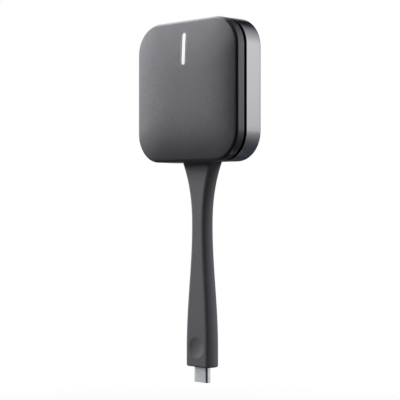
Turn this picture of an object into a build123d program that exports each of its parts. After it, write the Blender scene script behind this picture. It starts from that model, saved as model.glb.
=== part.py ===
from build123d import *
import os
from math import cos, pi

# Frame: X to the right seen from the front, Y to the back, Z up along the tail.
# The origin is the middle of the tail's end face, where the plug stands out.
# All sizes are in millimetres.

# Head outline
HEAD_SIDE = 59.3
HEAD_CORNER = 12.5

# Rear shell, a metal tub open to the front
SHELL_DEPTH = 10.0
SHELL_WALL = 1.4
SHELL_FLOOR = 1.2
BACK_EDGE_RADIUS = 1.6
RIM_CHAMFER = 0.15

# Front cap, the whole face is the button
CAP_GAP = 1.0
CAP_SIDE_DEPTH = 3.35
CAP_CHAMFER = 0.9
CAP_CROWN = 1.4
CROWN_POWER = 3.3
CROWN_SHARES = (1.0, 0.93, 0.84, 0.7, 0.5, 0.28)
CUT_SPARE = 1.0
CAP_WALL = 1.5
CAP_ROOF = 1.2
PRESS_TRAVEL = 0.5
PRESS_MARGIN = 0.25

# Light bar in the cap
BAR_WIDTH = 1.9
BAR_LENGTH = 13.3
BAR_TOP_INSET = 5.25
BAR_FIT = 0.05
BAR_FLANGE = 1.1
BAR_FLANGE_THICK = 0.8
PIPE_ROOM = 0.4

# Button plate behind the cap
PLATE_THICK = 1.2
PLATE_FIT = 0.15
STAKE_DIAMETER = 1.4
STAKE_HEAD_DIAMETER = 2.6
STAKE_HEAD_HEIGHT = 0.4
STAKE_FIT = 0.05
STAKE_X = 14.0
STAKE_Z = 8.0
POST_DIAMETER = 3.0
POST_FIT = 0.1
POST_INSET = 11.6
POST_OVERRUN = 0.4
HOOK_WIDTH = 3.0
HOOK_THICK = 1.2
HOOK_NOSE = 0.7
HOOK_NOSE_DEPTH = 0.7
HOOK_FIT = 0.2
HOOK_SEAT = 0.08
HOOK_INSET = 3.3
HOOK_Z = 10.0
STRIKER_DIAMETER = 3.6

# Middle frame between shell and cap
FRAME_THICK = 1.3
FRAME_FIT = 0.1
COLLAR_WALL = 1.2
COLLAR_FIT = 0.35
GUIDE_WALL = 1.1
GUIDE_DEPTH = 0.8
STOP_SIDE = 3.0
STOP_INSET = 8.1
STOP_Z = 4.0
STOP_MARGIN = 0.05
DOME_RECESS = 0.3

# Silicone return domes
DOME_BASE_DIAMETER = 5.0
DOME_TOP_DIAMETER = 3.0
DOME_BASE_THICK = 0.6
DOME_WALL = 0.45
DOME_X = 9.5
DOME_INSET = 8.6

# Screws
FRAME_SCREW_INSET = 6.6
M2_SHANK = 1.96
M2_HEAD = 3.6
M2_HEAD_HEIGHT = 1.2
M2_LENGTH = 5.0
M16_SHANK = 1.56
M16_HEAD = 2.8
M16_HEAD_HEIGHT = 0.8
SCREW_FIT = 0.02
BOSS_WALL = 1.2
HOLE_SPARE = 0.4
SCREW_END_ROOM = 0.3
RECESS_WIDTH = 0.5
RECESS_LENGTH = 1.7
RECESS_DEPTH = 0.6
RECESS_LIMIT = 0.7

# Main board and what is soldered to it
BOARD_SIDE_ROOM = 5.1
BOARD_TOP_ROOM = 2.6
BOARD_THICK = 1.0
BOARD_ROOM = 0.5
BOARD_SCREW_INSET = 3.5
BOARD_SCREW_Z = 13.5
CHIP_THICK = 0.9
PAD_THICK = 0.5
SOC_SIDE = 14.0
SOC_X = -6.0
SOC_Z = 6.0
MEMORY_WIDTH = 9.0
MEMORY_HEIGHT = 11.0
MEMORY_X = 9.0
MEMORY_Z = 7.0
RADIO_WIDTH = 14.0
RADIO_HEIGHT = 12.0
RADIO_THICK = 1.7
RADIO_Z = 3.0
MODULE_INSET = 1.6
SHIELD_WIDTH = 14.0
SHIELD_HEIGHT = 17.0
SHIELD_DEPTH = 1.6
SHIELD_SHEET = 0.2
SHIELD_Z = 2.0
COIL_SIDE = 4.0
COIL_THICK = 1.8
COIL_SPACING = 6.0
COIL_Z = -8.5
CRYSTAL_LENGTH = 3.2
CRYSTAL_WIDTH = 2.5
CRYSTAL_X = 8.0
CRYSTAL_Z = -14.0

# Push switch
SWITCH_SIDE = 6.0
SWITCH_HEIGHT = 3.8
SWITCH_BASE = 1.7
SWITCH_LID = 0.5
PLUNGER_DIAMETER = 3.3
PLUNGER_PROUD = 2.0
PLUNGER_FOOT = 4.2
PLUNGER_FIT = 0.1
SNAP_DOME_RISE = 0.6
SNAP_DOME_SHEET = 0.12
STRIKER_GAP = 0.05
STRIKER_ROOM = 0.8
TERMINAL_LENGTH = 1.0
TERMINAL_WIDTH = 0.7
TERMINAL_SHEET = 0.3
TERMINAL_Z = 2.25

# Status lights
LED_COUNT = 3
LED_PITCH = 4.6
LED_LENGTH = 1.6
LED_WIDTH = 0.8
LED_HEIGHT = 0.8
BAFFLE_WALL = 1.2

# Antennas on the middle frame, fed by sprung pins from the board
ANTENNA_LENGTH = 10.0
ANTENNA_WIDTH = 3.0
ANTENNA_SHEET = 0.2
SLIT_LENGTH = 3.0
SLIT_DEPTH = 1.4
ANTENNA_X = 9.0
ANTENNA_INSET = 3.8
PIN_DIAMETER = 1.0
PIN_BASE_DIAMETER = 1.6
PIN_SPREAD = 3.0
PIN_ROOM = 0.3

# Tail, one soft moulding over the cable
TAIL_LENGTH = 86.7
TOE_WIDTH = 14.2
TOE_THICK = 7.4
TOE_STRAIGHT = 6.0
TOE_EDGE_RADIUS = 0.9
NECK_WIDTH = 8.7
NECK_THICK = 6.5
NECK_HEIGHT = 60.0
ROOT_WIDTH = 18.4
ROOT_THICK = 7.3
ROOT_WIDTH_POWER = 2.3
ROOT_THICK_POWER = 3.0
TAIL_CORNER = 2.6
LOWER_SECTIONS = 6
UPPER_SECTIONS = 6
SLOT_FIT = 0.1
FLANGE_WIDTH = 24.0
FLANGE_THICK = 7.0
FLANGE_HEIGHT = 4.5
DIMPLE_DIAMETER = 8.8
DIMPLE_DEPTH = 0.6
DIMPLE_HEIGHT = 8.3

# Hard insert moulded into the root flange
INSERT_WIDTH = 11.0
INSERT_THICK = 5.2
INSERT_HEIGHT = 2.2

# Tail clamp
CLAMP_SHEET = 1.0
CLAMP_WIDTH = 22.0
CLAMP_DEPTH = 6.4
EAR_INNER = 9.0
EAR_MARGIN = 2.6
EAR_HEIGHT = 4.6
CLAMP_SCREW_SPACING = 6.9
CLAMP_SCREW_RISE = 1.5

# Cable
JACKET_DIAMETER = 3.4
JACKET_BORE = 2.0
CABLE_FIT = 0.05
WIRE_DIAMETER = 0.6
WIRE_RING = 0.65
WIRE_COUNT = 6
JACKET_STRIP = 1.2

# Cable connector on the board
CONNECTOR_WIDTH = 10.6
CONNECTOR_THICK = 2.2
CONNECTOR_LENGTH = 5.4
HEADER_INSERTION = 3.8
HEADER_WALL = 0.5
HEADER_END = 1.0
HEADER_RISE = 1.1
CONNECTOR_FIT = 0.05

# Plug, standard outer size
PLUG_WIDTH = 8.25
PLUG_THICK = 2.4
PLUG_REACH = 6.65
PLUG_SEAT = 4.5
PLUG_SHEET = 0.28
PLUG_LIP_RADIUS = 0.1
PLUG_FIT = 0.03
TONGUE_SLOT_WIDTH = 6.9
TONGUE_SLOT_THICK = 0.96
TONGUE_SLOT_DEPTH = 5.75
INSULATOR_SETBACK = 0.3
INSULATOR_SEAT = 3.4
CONTACT_COUNT = 12
CONTACT_PITCH = 0.5
CONTACT_WIDTH = 0.25
CONTACT_THICK = 0.12
CONTACT_PROUD = 0.08
CONTACT_SETBACK = 0.6
CONTACT_LAP = 1.0
CONTACT_FIT = 0.02
LATCH_SHEET = 0.2
LATCH_WIDTH = 0.6
LATCH_SETBACK = 1.0
CARD_WIDTH = 7.4
CARD_THICK = 0.8
CARD_LENGTH = 8.0
CARD_GAP = 0.1
CARD_CHIP_SIDE = 2.4
CARD_CHIP_THICK = 0.6

# Hard inner moulding round the plug's rear
INNER_WIDTH = 10.6
INNER_THICK = 4.6
INNER_LOW = 1.0
INNER_HIGH = 17.0
INNER_CORNER = 1.2
INNER_ROOM = 0.4
INNER_GRIP = 3.5

# Places along the depth, front is negative Y
SHELL_FRONT = -SHELL_DEPTH / 2
SHELL_BACK = SHELL_DEPTH / 2
SHELL_INSIDE = SHELL_BACK - SHELL_FLOOR
CAP_REAR = SHELL_FRONT - CAP_GAP
CAP_SHOULDER = CAP_REAR - CAP_SIDE_DEPTH
FACE_EDGE = CAP_SHOULDER - CAP_CHAMFER
CROWN_TOP = FACE_EDGE - CAP_CROWN
ROOF_INSIDE = FACE_EDGE + CAP_ROOF
PLATE_REAR = ROOF_INSIDE + PLATE_THICK
FRAME_FRONT = SHELL_FRONT
FRAME_REAR = FRAME_FRONT + FRAME_THICK
COLLAR_FRONT = PLATE_REAR + PRESS_TRAVEL + PRESS_MARGIN
STOP_FRONT = PLATE_REAR + PRESS_TRAVEL + STOP_MARGIN
BOARD_BACK = SHELL_INSIDE - PAD_THICK - CHIP_THICK
BOARD_FRONT = BOARD_BACK - BOARD_THICK
SWITCH_TOP = BOARD_FRONT - SWITCH_HEIGHT
PLUNGER_TOP = SWITCH_TOP - PLUNGER_PROUD
LED_TOP = BOARD_FRONT - LED_HEIGHT
PIPE_END = LED_TOP - PRESS_TRAVEL - PIPE_ROOM
POST_END = FRAME_REAR + GUIDE_DEPTH + POST_OVERRUN
HOOK_FRONT = FRAME_REAR + HOOK_SEAT

# Sizes of the outlines that fit into one another
SHELL_INSIDE_SIDE = HEAD_SIDE - 2 * SHELL_WALL
SHELL_INSIDE_HALF = SHELL_INSIDE_SIDE / 2
SHELL_INSIDE_CORNER = HEAD_CORNER - SHELL_WALL
CAP_INSIDE_SIDE = HEAD_SIDE - 2 * CAP_WALL
CAP_INSIDE_CORNER = HEAD_CORNER - CAP_WALL
COLLAR_SIDE = CAP_INSIDE_SIDE - 2 * COLLAR_FIT
COLLAR_CORNER = CAP_INSIDE_CORNER - COLLAR_FIT

# Places along the height, counted from the origin
HEAD_CENTRE = TAIL_LENGTH + HEAD_SIDE / 2
ROOT_INSIDE = TAIL_LENGTH + SHELL_WALL
FLANGE_TOP = ROOT_INSIDE + FLANGE_HEIGHT
CLAMP_TOP = FLANGE_TOP + CLAMP_SHEET
JACKET_TOP = CLAMP_TOP + JACKET_STRIP
JACKET_LOW = INNER_HIGH - INNER_GRIP
CARD_LOW = INSULATOR_SEAT + CARD_GAP
CARD_HIGH = CARD_LOW + CARD_LENGTH
CLAMP_SCREW_Z = CLAMP_TOP + CLAMP_SCREW_RISE - HEAD_CENTRE
BOSS_RADIUS = M2_SHANK / 2 + SCREW_FIT + BOSS_WALL

# Main board's edges, from the head's centre
BOARD_WIDTH = SHELL_INSIDE_SIDE - 2 * BOARD_SIDE_ROOM
BOARD_LOW = CLAMP_SCREW_Z + BOSS_RADIUS + BOARD_ROOM
BOARD_HIGH = SHELL_INSIDE_HALF - BOARD_TOP_ROOM
BOARD_SCREW_X = BOARD_WIDTH / 2 - BOARD_SCREW_INSET
RADIO_X = MODULE_INSET + RADIO_WIDTH / 2 - BOARD_WIDTH / 2
SHIELD_X = BOARD_WIDTH / 2 - MODULE_INSET - SHIELD_WIDTH / 2

# Lengths of the screws that end in the shell's bosses
BOARD_SCREW_LENGTH = SHELL_INSIDE - BOARD_FRONT - SCREW_END_ROOM
CLAMP_SCREW_LENGTH = SHELL_INSIDE + CLAMP_SHEET / 2 - 2 * SCREW_END_ROOM

# Places over the head, as X and Z from its centre, set from the shell's inner wall
BAR_CENTRE = HEAD_SIDE / 2 - BAR_TOP_INSET - BAR_LENGTH / 2
POST_PLACE = SHELL_INSIDE_HALF - POST_INSET
HOOK_X = SHELL_INSIDE_HALF - HOOK_INSET
STOP_X = SHELL_INSIDE_HALF - STOP_INSET
DOME_Z = SHELL_INSIDE_HALF - DOME_INSET
FRAME_SCREW_PLACE = SHELL_INSIDE_HALF - FRAME_SCREW_INSET
ANTENNA_Z = SHELL_INSIDE_HALF - ANTENNA_INSET
CLAMP_SCREW_X = FRAME_SCREW_PLACE - CLAMP_SCREW_SPACING
EAR_OUTER = CLAMP_SCREW_X + EAR_MARGIN
FOUR_CORNERS = [(-1, -1), (1, -1), (-1, 1), (1, 1)]
POST_SPOTS = [(i * POST_PLACE, k * POST_PLACE) for i, k in FOUR_CORNERS]
HOOK_SPOTS = [(i, k * HOOK_Z) for i, k in FOUR_CORNERS]
STAKE_SPOTS = [(i * STAKE_X, k * STAKE_Z) for i, k in FOUR_CORNERS]
STOP_SPOTS = [(i * STOP_X, k * STOP_Z) for i, k in FOUR_CORNERS]
DOME_SPOTS = [(i * DOME_X, k * DOME_Z) for i, k in FOUR_CORNERS]
FRAME_SCREW_SPOTS = [(i * FRAME_SCREW_PLACE, k * FRAME_SCREW_PLACE) for i, k in FOUR_CORNERS]
BOARD_SCREW_SPOTS = [(-BOARD_SCREW_X, -BOARD_SCREW_Z), (BOARD_SCREW_X, BOARD_SCREW_Z)]
CLAMP_SCREW_SPOTS = [(i * CLAMP_SCREW_X, CLAMP_SCREW_Z) for i in (-1, 1)]
PIN_SPOTS = [(i * (ANTENNA_X + k * PIN_SPREAD / 2), ANTENNA_Z) for i, k in FOUR_CORNERS]


def slab(outline, back, front, x=0.0, z=0.0):
    """An outline drawn over the head at x, z, filled from depth back forward to depth front."""
    plane = Plane(origin=(x, back, HEAD_CENTRE + z), x_dir=(1, 0, 0), z_dir=(0, -1, 0))
    return extrude(plane * outline, amount=back - front)


def post(diameter, back, front, spot):
    """A round post at one spot of the head."""
    return slab(Circle(diameter / 2), back, front, *spot)


def block(width, height, back, front, spot):
    """A box at one spot of the head."""
    return slab(Rectangle(width, height), back, front, *spot)


def upright(outline, low, high):
    """An outline in plan, filled from height low to height high on the tail's axis."""
    return extrude(Plane.XY.offset(low) * outline, amount=high - low)


def write(name, *shapes):
    """One node: one solid, or a group of like solids that stay apart."""
    shape = shapes[0] if len(shapes) == 1 else Compound(list(shapes))
    export_step(shape, f"parts/{name}.step")


def crown(side, corner):
    """The face's crown: its outline drawn in by q stands CAP_CROWN * (1 - q ** CROWN_POWER) proud."""
    sections = []
    for share in CROWN_SHARES:
        depth = FACE_EDGE - CAP_CROWN * (1 - share**CROWN_POWER)
        plane = Plane(origin=(0, depth, HEAD_CENTRE), x_dir=(1, 0, 0), z_dir=(0, -1, 0))
        sections.append(plane * RectangleRounded(side * share, side * share, corner * share))
    return loft(sections)


def cap_outside():
    """The cap as if it were solid: straight side, chamfer and crown."""
    body = slab(RectangleRounded(HEAD_SIDE, HEAD_SIDE, HEAD_CORNER), CAP_REAR, FACE_EDGE)
    front_edges = body.faces().sort_by(Axis.Y)[0].edges()
    body = chamfer(front_edges, CAP_CHAMFER)
    return body + crown(HEAD_SIDE - 2 * CAP_CHAMFER, HEAD_CORNER - CAP_CHAMFER)


def bar_slab(room, back, front):
    """The light bar's own upright outline, widened all round by room."""
    outline = SlotOverall(BAR_LENGTH + 2 * room, BAR_WIDTH + 2 * room, rotation=90)
    return slab(outline, back, front, 0, BAR_CENTRE)


def light_guide():
    """Clear bar flush with the crown, its flange behind the roof and its pipe down to the lights."""
    front = bar_slab(0, ROOF_INSIDE, CROWN_TOP - CUT_SPARE)
    front = front & crown(HEAD_SIDE - 2 * CAP_CHAMFER, HEAD_CORNER - CAP_CHAMFER)
    flange = bar_slab(BAR_FLANGE, ROOF_INSIDE + BAR_FLANGE_THICK, ROOF_INSIDE)
    return bar_slab(0, PIPE_END, FACE_EDGE) + front + flange


def front_cap():
    """The pressed face: hollow cap with the light bar's slot and the stakes that hold the plate."""
    cap = cap_outside()
    cap -= slab(RectangleRounded(CAP_INSIDE_SIDE, CAP_INSIDE_SIDE, CAP_INSIDE_CORNER), CAP_REAR, ROOF_INSIDE)
    cap -= bar_slab(BAR_FIT, ROOF_INSIDE, CROWN_TOP - CUT_SPARE)
    for spot in STAKE_SPOTS:
        cap += post(STAKE_DIAMETER, PLATE_REAR, ROOF_INSIDE, spot)
        cap += post(STAKE_HEAD_DIAMETER, PLATE_REAR + STAKE_HEAD_HEIGHT, PLATE_REAR, spot)
    return cap


def hook(side, z):
    """One snap hook on the plate's side, its nose behind the middle frame."""
    rear = HOOK_FRONT + HOOK_NOSE_DEPTH
    stem = block(HOOK_THICK, HOOK_WIDTH, rear, PLATE_REAR, (side * HOOK_X, z))
    nose_spot = (side * (HOOK_X + HOOK_NOSE / 2), z)
    return stem + block(HOOK_THICK + HOOK_NOSE, HOOK_WIDTH, rear, HOOK_FRONT, nose_spot)


def button_plate():
    """Stiff plate staked to the cap: it carries the guide posts, hooks and the switch's striker."""
    side = CAP_INSIDE_SIDE - 2 * PLATE_FIT
    plate = slab(RectangleRounded(side, side, CAP_INSIDE_CORNER - PLATE_FIT), PLATE_REAR, ROOF_INSIDE)
    plate -= bar_slab(BAR_FIT, PLATE_REAR, ROOF_INSIDE)
    plate -= bar_slab(BAR_FLANGE + BAR_FIT, ROOF_INSIDE + BAR_FLANGE_THICK, ROOF_INSIDE)
    for spot in STAKE_SPOTS:
        plate -= post(STAKE_DIAMETER + 2 * STAKE_FIT, PLATE_REAR, ROOF_INSIDE, spot)
    for spot in POST_SPOTS:
        plate += post(POST_DIAMETER, POST_END, PLATE_REAR, spot)
    for side, z in HOOK_SPOTS:
        plate += hook(side, z)
    plate += post(STRIKER_DIAMETER, PLUNGER_TOP - STRIKER_GAP, PLATE_REAR, (0, 0))
    return plate


def mid_frame():
    """Black frame closing the shell: its collar shows in the gap and guides the pressed cap."""
    side = SHELL_INSIDE_SIDE - 2 * FRAME_FIT
    frame = slab(RectangleRounded(side, side, SHELL_INSIDE_CORNER - FRAME_FIT), FRAME_REAR, FRAME_FRONT)
    inside = COLLAR_SIDE - 2 * COLLAR_WALL
    ring = RectangleRounded(COLLAR_SIDE, COLLAR_SIDE, COLLAR_CORNER)
    ring -= RectangleRounded(inside, inside, COLLAR_CORNER - COLLAR_WALL)
    frame += slab(ring, FRAME_FRONT, COLLAR_FRONT)
    for spot in POST_SPOTS:
        frame += post(POST_DIAMETER + 2 * (POST_FIT + GUIDE_WALL), FRAME_REAR + GUIDE_DEPTH, FRAME_REAR, spot)
    for spot in STOP_SPOTS:
        frame += block(STOP_SIDE, STOP_SIDE, FRAME_FRONT, STOP_FRONT, spot)
    for spot in POST_SPOTS:
        frame -= post(POST_DIAMETER + 2 * POST_FIT, FRAME_REAR + GUIDE_DEPTH, FRAME_FRONT, spot)
    for spot in FRAME_SCREW_SPOTS:
        frame -= post(M2_SHANK + 2 * SCREW_FIT, FRAME_REAR, FRAME_FRONT, spot)
    for spot in DOME_SPOTS:
        frame -= post(DOME_BASE_DIAMETER + 2 * SCREW_FIT, FRAME_FRONT + DOME_RECESS, FRAME_FRONT, spot)
    for spot in PIN_SPOTS:
        frame -= post(PIN_DIAMETER + 2 * PIN_ROOM, FRAME_REAR, FRAME_FRONT, spot)
    for side, z in HOOK_SPOTS:
        window = (HOOK_THICK + 2 * HOOK_FIT, HOOK_WIDTH + 2 * HOOK_FIT)
        frame -= block(*window, FRAME_REAR, FRAME_FRONT, (side * HOOK_X, z))
    frame -= post(STRIKER_DIAMETER + 2 * STRIKER_ROOM, FRAME_REAR, FRAME_FRONT, (0, 0))
    frame -= bar_slab(PIPE_ROOM, FRAME_REAR, FRAME_FRONT)
    return frame


def tail_section(height):
    """Width and thickness of the tail at a height: a raised cosine below the neck, powers above it."""
    if height <= NECK_HEIGHT:
        travel = max(0.0, (height - TOE_STRAIGHT) / (NECK_HEIGHT - TOE_STRAIGHT))
        share = (1 - cos(pi * travel)) / 2
        width = TOE_WIDTH + (NECK_WIDTH - TOE_WIDTH) * share
        return width, TOE_THICK + (NECK_THICK - TOE_THICK) * share
    travel = (height - NECK_HEIGHT) / (TAIL_LENGTH - NECK_HEIGHT)
    width = NECK_WIDTH + (ROOT_WIDTH - NECK_WIDTH) * travel**ROOT_WIDTH_POWER
    return width, NECK_THICK + (ROOT_THICK - NECK_THICK) * travel**ROOT_THICK_POWER


def tail_heights():
    """Heights of the tail's sections, evenly spaced below the neck and again above it."""
    low_step = (NECK_HEIGHT - TOE_STRAIGHT) / LOWER_SECTIONS
    high_step = (TAIL_LENGTH - NECK_HEIGHT) / UPPER_SECTIONS
    lower = [TOE_STRAIGHT + low_step * i for i in range(LOWER_SECTIONS)]
    return lower + [NECK_HEIGHT + high_step * i for i in range(UPPER_SECTIONS + 1)]


def tail_outside():
    """The tail as if it were solid, from its rounded toe up to the flange inside the shell."""
    toe = upright(RectangleRounded(TOE_WIDTH, TOE_THICK, TAIL_CORNER), 0, TOE_STRAIGHT)
    toe = fillet(toe.faces().sort_by(Axis.Z)[0].edges(), TOE_EDGE_RADIUS)
    sections = []
    for height in tail_heights():
        width, thick = tail_section(height)
        sections.append(Plane.XY.offset(height) * RectangleRounded(width, thick, TAIL_CORNER))
    tail = toe + loft(sections)
    tail += upright(RectangleRounded(ROOT_WIDTH, ROOT_THICK, TAIL_CORNER), TAIL_LENGTH, ROOT_INSIDE)
    tail += upright(RectangleRounded(FLANGE_WIDTH, FLANGE_THICK, TAIL_CORNER), ROOT_INSIDE, FLANGE_TOP)
    return tail


def dimple():
    """The ball that presses the shallow thumb dish into the tail's front."""
    radius = (DIMPLE_DIAMETER**2 / 4 + DIMPLE_DEPTH**2) / (2 * DIMPLE_DEPTH)
    front = -tail_section(DIMPLE_HEIGHT)[1] / 2
    return Pos(0, front + DIMPLE_DEPTH - radius, DIMPLE_HEIGHT) * Sphere(radius)


def plug_outline(inset=0.0):
    """The plug's flat oval, drawn in by inset all round."""
    return SlotOverall(PLUG_WIDTH - 2 * inset, PLUG_THICK - 2 * inset)


def insert_block():
    """The hard insert as if it had no hole, half way up the root flange."""
    low = ROOT_INSIDE + (FLANGE_HEIGHT - INSERT_HEIGHT) / 2
    return upright(RectangleRounded(INSERT_WIDTH, INSERT_THICK, INNER_CORNER), low, low + INSERT_HEIGHT)


def cable_bore(low, high):
    """The hole that the cable's jacket runs through."""
    return upright(Circle(JACKET_DIAMETER / 2 + CABLE_FIT), low, high)


def tail_overmould():
    """Soft moulding: dish in front, plug opening below, cable bore, and the insert's pocket."""
    tail = tail_outside() - dimple()
    tail -= upright(plug_outline(-CABLE_FIT), 0, INNER_LOW)
    tail -= upright(RectangleRounded(INNER_WIDTH, INNER_THICK, INNER_CORNER), INNER_LOW, INNER_HIGH)
    return tail - cable_bore(INNER_HIGH, FLANGE_TOP) - insert_block()


def root_insert():
    """Hard ring in the root flange that stops the tail from pulling out of its slot."""
    return insert_block() - cable_bore(ROOT_INSIDE, FLANGE_TOP)


def screw_boss(shank, depth_front, hole_length, spot):
    """A boss on the shell's floor with its hole, up to depth_front."""
    boss = post(shank + 2 * (SCREW_FIT + BOSS_WALL), SHELL_INSIDE, depth_front, spot)
    hole = post(shank + 2 * SCREW_FIT, depth_front + hole_length, depth_front, spot)
    return boss, hole


def rear_shell():
    """Metal tub with rounded back edge, chamfered rim, the tail's slot and the screw bosses."""
    shell = slab(RectangleRounded(HEAD_SIDE, HEAD_SIDE, HEAD_CORNER), SHELL_BACK, SHELL_FRONT)
    shell = fillet(shell.faces().sort_by(Axis.Y)[-1].edges(), BACK_EDGE_RADIUS)
    shell = chamfer(shell.faces().sort_by(Axis.Y)[0].edges(), RIM_CHAMFER)
    inside = RectangleRounded(SHELL_INSIDE_SIDE, SHELL_INSIDE_SIDE, SHELL_INSIDE_CORNER)
    shell -= slab(inside, SHELL_INSIDE, SHELL_FRONT)
    slot = RectangleRounded(ROOT_WIDTH + 2 * SLOT_FIT, ROOT_THICK + 2 * SLOT_FIT, TAIL_CORNER + SLOT_FIT)
    shell -= upright(slot, TAIL_LENGTH - CUT_SPARE, ROOT_INSIDE)
    frame_hole = M2_LENGTH - FRAME_THICK + HOLE_SPARE
    board_hole = BOARD_SCREW_LENGTH - BOARD_THICK + SCREW_FIT
    clamp_hole = CLAMP_SCREW_LENGTH - CLAMP_SHEET + SCREW_FIT
    bosses = [screw_boss(M2_SHANK, FRAME_REAR, frame_hole, spot) for spot in FRAME_SCREW_SPOTS]
    bosses += [screw_boss(M16_SHANK, BOARD_BACK, board_hole, spot) for spot in BOARD_SCREW_SPOTS]
    bosses += [screw_boss(M2_SHANK, CLAMP_SHEET / 2, clamp_hole, spot) for spot in CLAMP_SCREW_SPOTS]
    for boss, hole in bosses:
        shell += boss
        shell -= hole
    return shell


def screw(head, head_height, shank, length, seat, spot):
    """A pan-head screw driven from the front, its head's underside at depth seat."""
    body = post(head, seat, seat - head_height, spot) + post(shank, seat + length, seat, spot)
    top = seat - head_height
    recess = min(RECESS_DEPTH, head_height * RECESS_LIMIT)
    body -= block(RECESS_LENGTH, RECESS_WIDTH, top + recess, top, spot)
    body -= block(RECESS_WIDTH, RECESS_LENGTH, top + recess, top, spot)
    return body


def return_dome(spot):
    """A hollow silicone cone that pushes the plate forward."""
    seat = FRAME_FRONT + DOME_RECESS
    height = seat - PLATE_REAR
    base = DOME_BASE_DIAMETER / 2
    top = DOME_TOP_DIAMETER / 2
    roof = height - DOME_WALL
    outside = [(0, 0), (base, 0), (base, DOME_BASE_THICK), (top, height), (0, height)]
    inside = [(0, 0), (base - 2 * DOME_WALL, 0), (top - DOME_WALL, roof), (0, roof)]
    profile = make_face(Polyline(*outside, close=True)) - make_face(Polyline(*inside, close=True))
    cone = revolve(Plane.XZ * profile, Axis.Z)
    place = Plane(origin=(spot[0], seat, HEAD_CENTRE + spot[1]), x_dir=(1, 0, 0), z_dir=(0, -1, 0))
    return place * cone


def main_board():
    """The board, notched round the upper frame screws and drilled for its own two screws."""
    height = BOARD_HIGH - BOARD_LOW
    middle = (BOARD_HIGH + BOARD_LOW) / 2
    board = block(BOARD_WIDTH, height, BOARD_BACK, BOARD_FRONT, (0, middle))
    for x, z in FRAME_SCREW_SPOTS:
        reach = BOSS_RADIUS + BOARD_ROOM
        side = HEAD_SIDE / 2 - FRAME_SCREW_PLACE + reach
        centre = FRAME_SCREW_PLACE - reach + side / 2
        spot = (centre if x > 0 else -centre, centre if z > 0 else -centre)
        board -= block(side, side, BOARD_BACK, BOARD_FRONT, spot)
    for spot in BOARD_SCREW_SPOTS:
        board -= post(M16_SHANK + 2 * SCREW_FIT, BOARD_BACK, BOARD_FRONT, spot)
    return board


def on_board(width, height, thick, spot):
    """A boxed part soldered to the board's front."""
    return block(width, height, BOARD_FRONT, BOARD_FRONT - thick, spot)


def shield_frame():
    """The soldered fence of the front shield."""
    ring = Rectangle(SHIELD_WIDTH, SHIELD_HEIGHT)
    ring -= Rectangle(SHIELD_WIDTH - 2 * SHIELD_SHEET, SHIELD_HEIGHT - 2 * SHIELD_SHEET)
    return slab(ring, BOARD_FRONT, BOARD_FRONT - SHIELD_DEPTH, SHIELD_X, SHIELD_Z)


def shield_lid():
    """The lid that snaps over the fence."""
    top = BOARD_FRONT - SHIELD_DEPTH
    lid = block(SHIELD_WIDTH, SHIELD_HEIGHT, top, top - SHIELD_SHEET, (SHIELD_X, SHIELD_Z))
    return fillet(lid.edges().filter_by(Axis.Y), 2 * SHIELD_SHEET)


def switch_housing():
    """Moulded switch body with the plunger's well."""
    body = block(SWITCH_SIDE, SWITCH_SIDE, BOARD_FRONT, SWITCH_TOP, (0, 0))
    body -= post(PLUNGER_FOOT + 2 * PLUNGER_FIT, BOARD_FRONT - SWITCH_BASE, SWITCH_TOP + SWITCH_LID, (0, 0))
    body -= post(PLUNGER_DIAMETER + 2 * PLUNGER_FIT, SWITCH_TOP + SWITCH_LID, SWITCH_TOP, (0, 0))
    return body


def switch_plunger():
    """Stem and foot of the switch, held in by the body's lid."""
    foot_front = SWITCH_TOP + SWITCH_LID + STRIKER_GAP
    foot_rear = BOARD_FRONT - SWITCH_BASE - SNAP_DOME_RISE - STRIKER_GAP
    stem = post(PLUNGER_DIAMETER, foot_rear, PLUNGER_TOP, (0, 0))
    return stem + post(PLUNGER_FOOT, foot_rear, foot_front, (0, 0))


def switch_dome():
    """Sprung steel dome under the plunger, a shallow cup of sheet."""
    base = BOARD_FRONT - SWITCH_BASE
    half = PLUNGER_FOOT / 2 - PLUNGER_FIT
    radius = (half**2 + SNAP_DOME_RISE**2) / (2 * SNAP_DOME_RISE)
    centre = Pos(0, base - SNAP_DOME_RISE + radius, HEAD_CENTRE)
    cup = centre * Sphere(radius) - centre * Sphere(radius - SNAP_DOME_SHEET)
    return cup & post(2 * half, base, base - SNAP_DOME_RISE, (0, 0))


def switch_terminals():
    """Four feet of the switch on the board."""
    out = (SWITCH_SIDE + TERMINAL_LENGTH) / 2
    places = [(i * out, k * TERMINAL_Z) for i, k in FOUR_CORNERS]
    front = BOARD_FRONT - TERMINAL_SHEET
    return [block(TERMINAL_LENGTH, TERMINAL_WIDTH, BOARD_FRONT, front, spot) for spot in places]


def leds():
    """The row of lights under the bar."""
    heights = [BAR_CENTRE + (i - (LED_COUNT - 1) / 2) * LED_PITCH for i in range(LED_COUNT)]
    return [block(LED_WIDTH, LED_LENGTH, BOARD_FRONT, LED_TOP, (0, z)) for z in heights]


def led_baffle():
    """Black sleeve from the board to the frame that keeps the light on the pipe."""
    sleeve = bar_slab(PIPE_ROOM + BAFFLE_WALL, BOARD_FRONT, FRAME_REAR)
    return sleeve - bar_slab(PIPE_ROOM, BOARD_FRONT, FRAME_REAR)


def antenna(side):
    """Flat antenna foil on the frame's front, with its tuning slit."""
    x = side * ANTENNA_X
    front = FRAME_FRONT - ANTENNA_SHEET
    foil = block(ANTENNA_LENGTH, ANTENNA_WIDTH, FRAME_FRONT, front, (x, ANTENNA_Z))
    slit_z = ANTENNA_Z + (ANTENNA_WIDTH - SLIT_DEPTH) / 2
    return foil - block(SLIT_LENGTH, SLIT_DEPTH, FRAME_FRONT, front, (x, slit_z))


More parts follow.
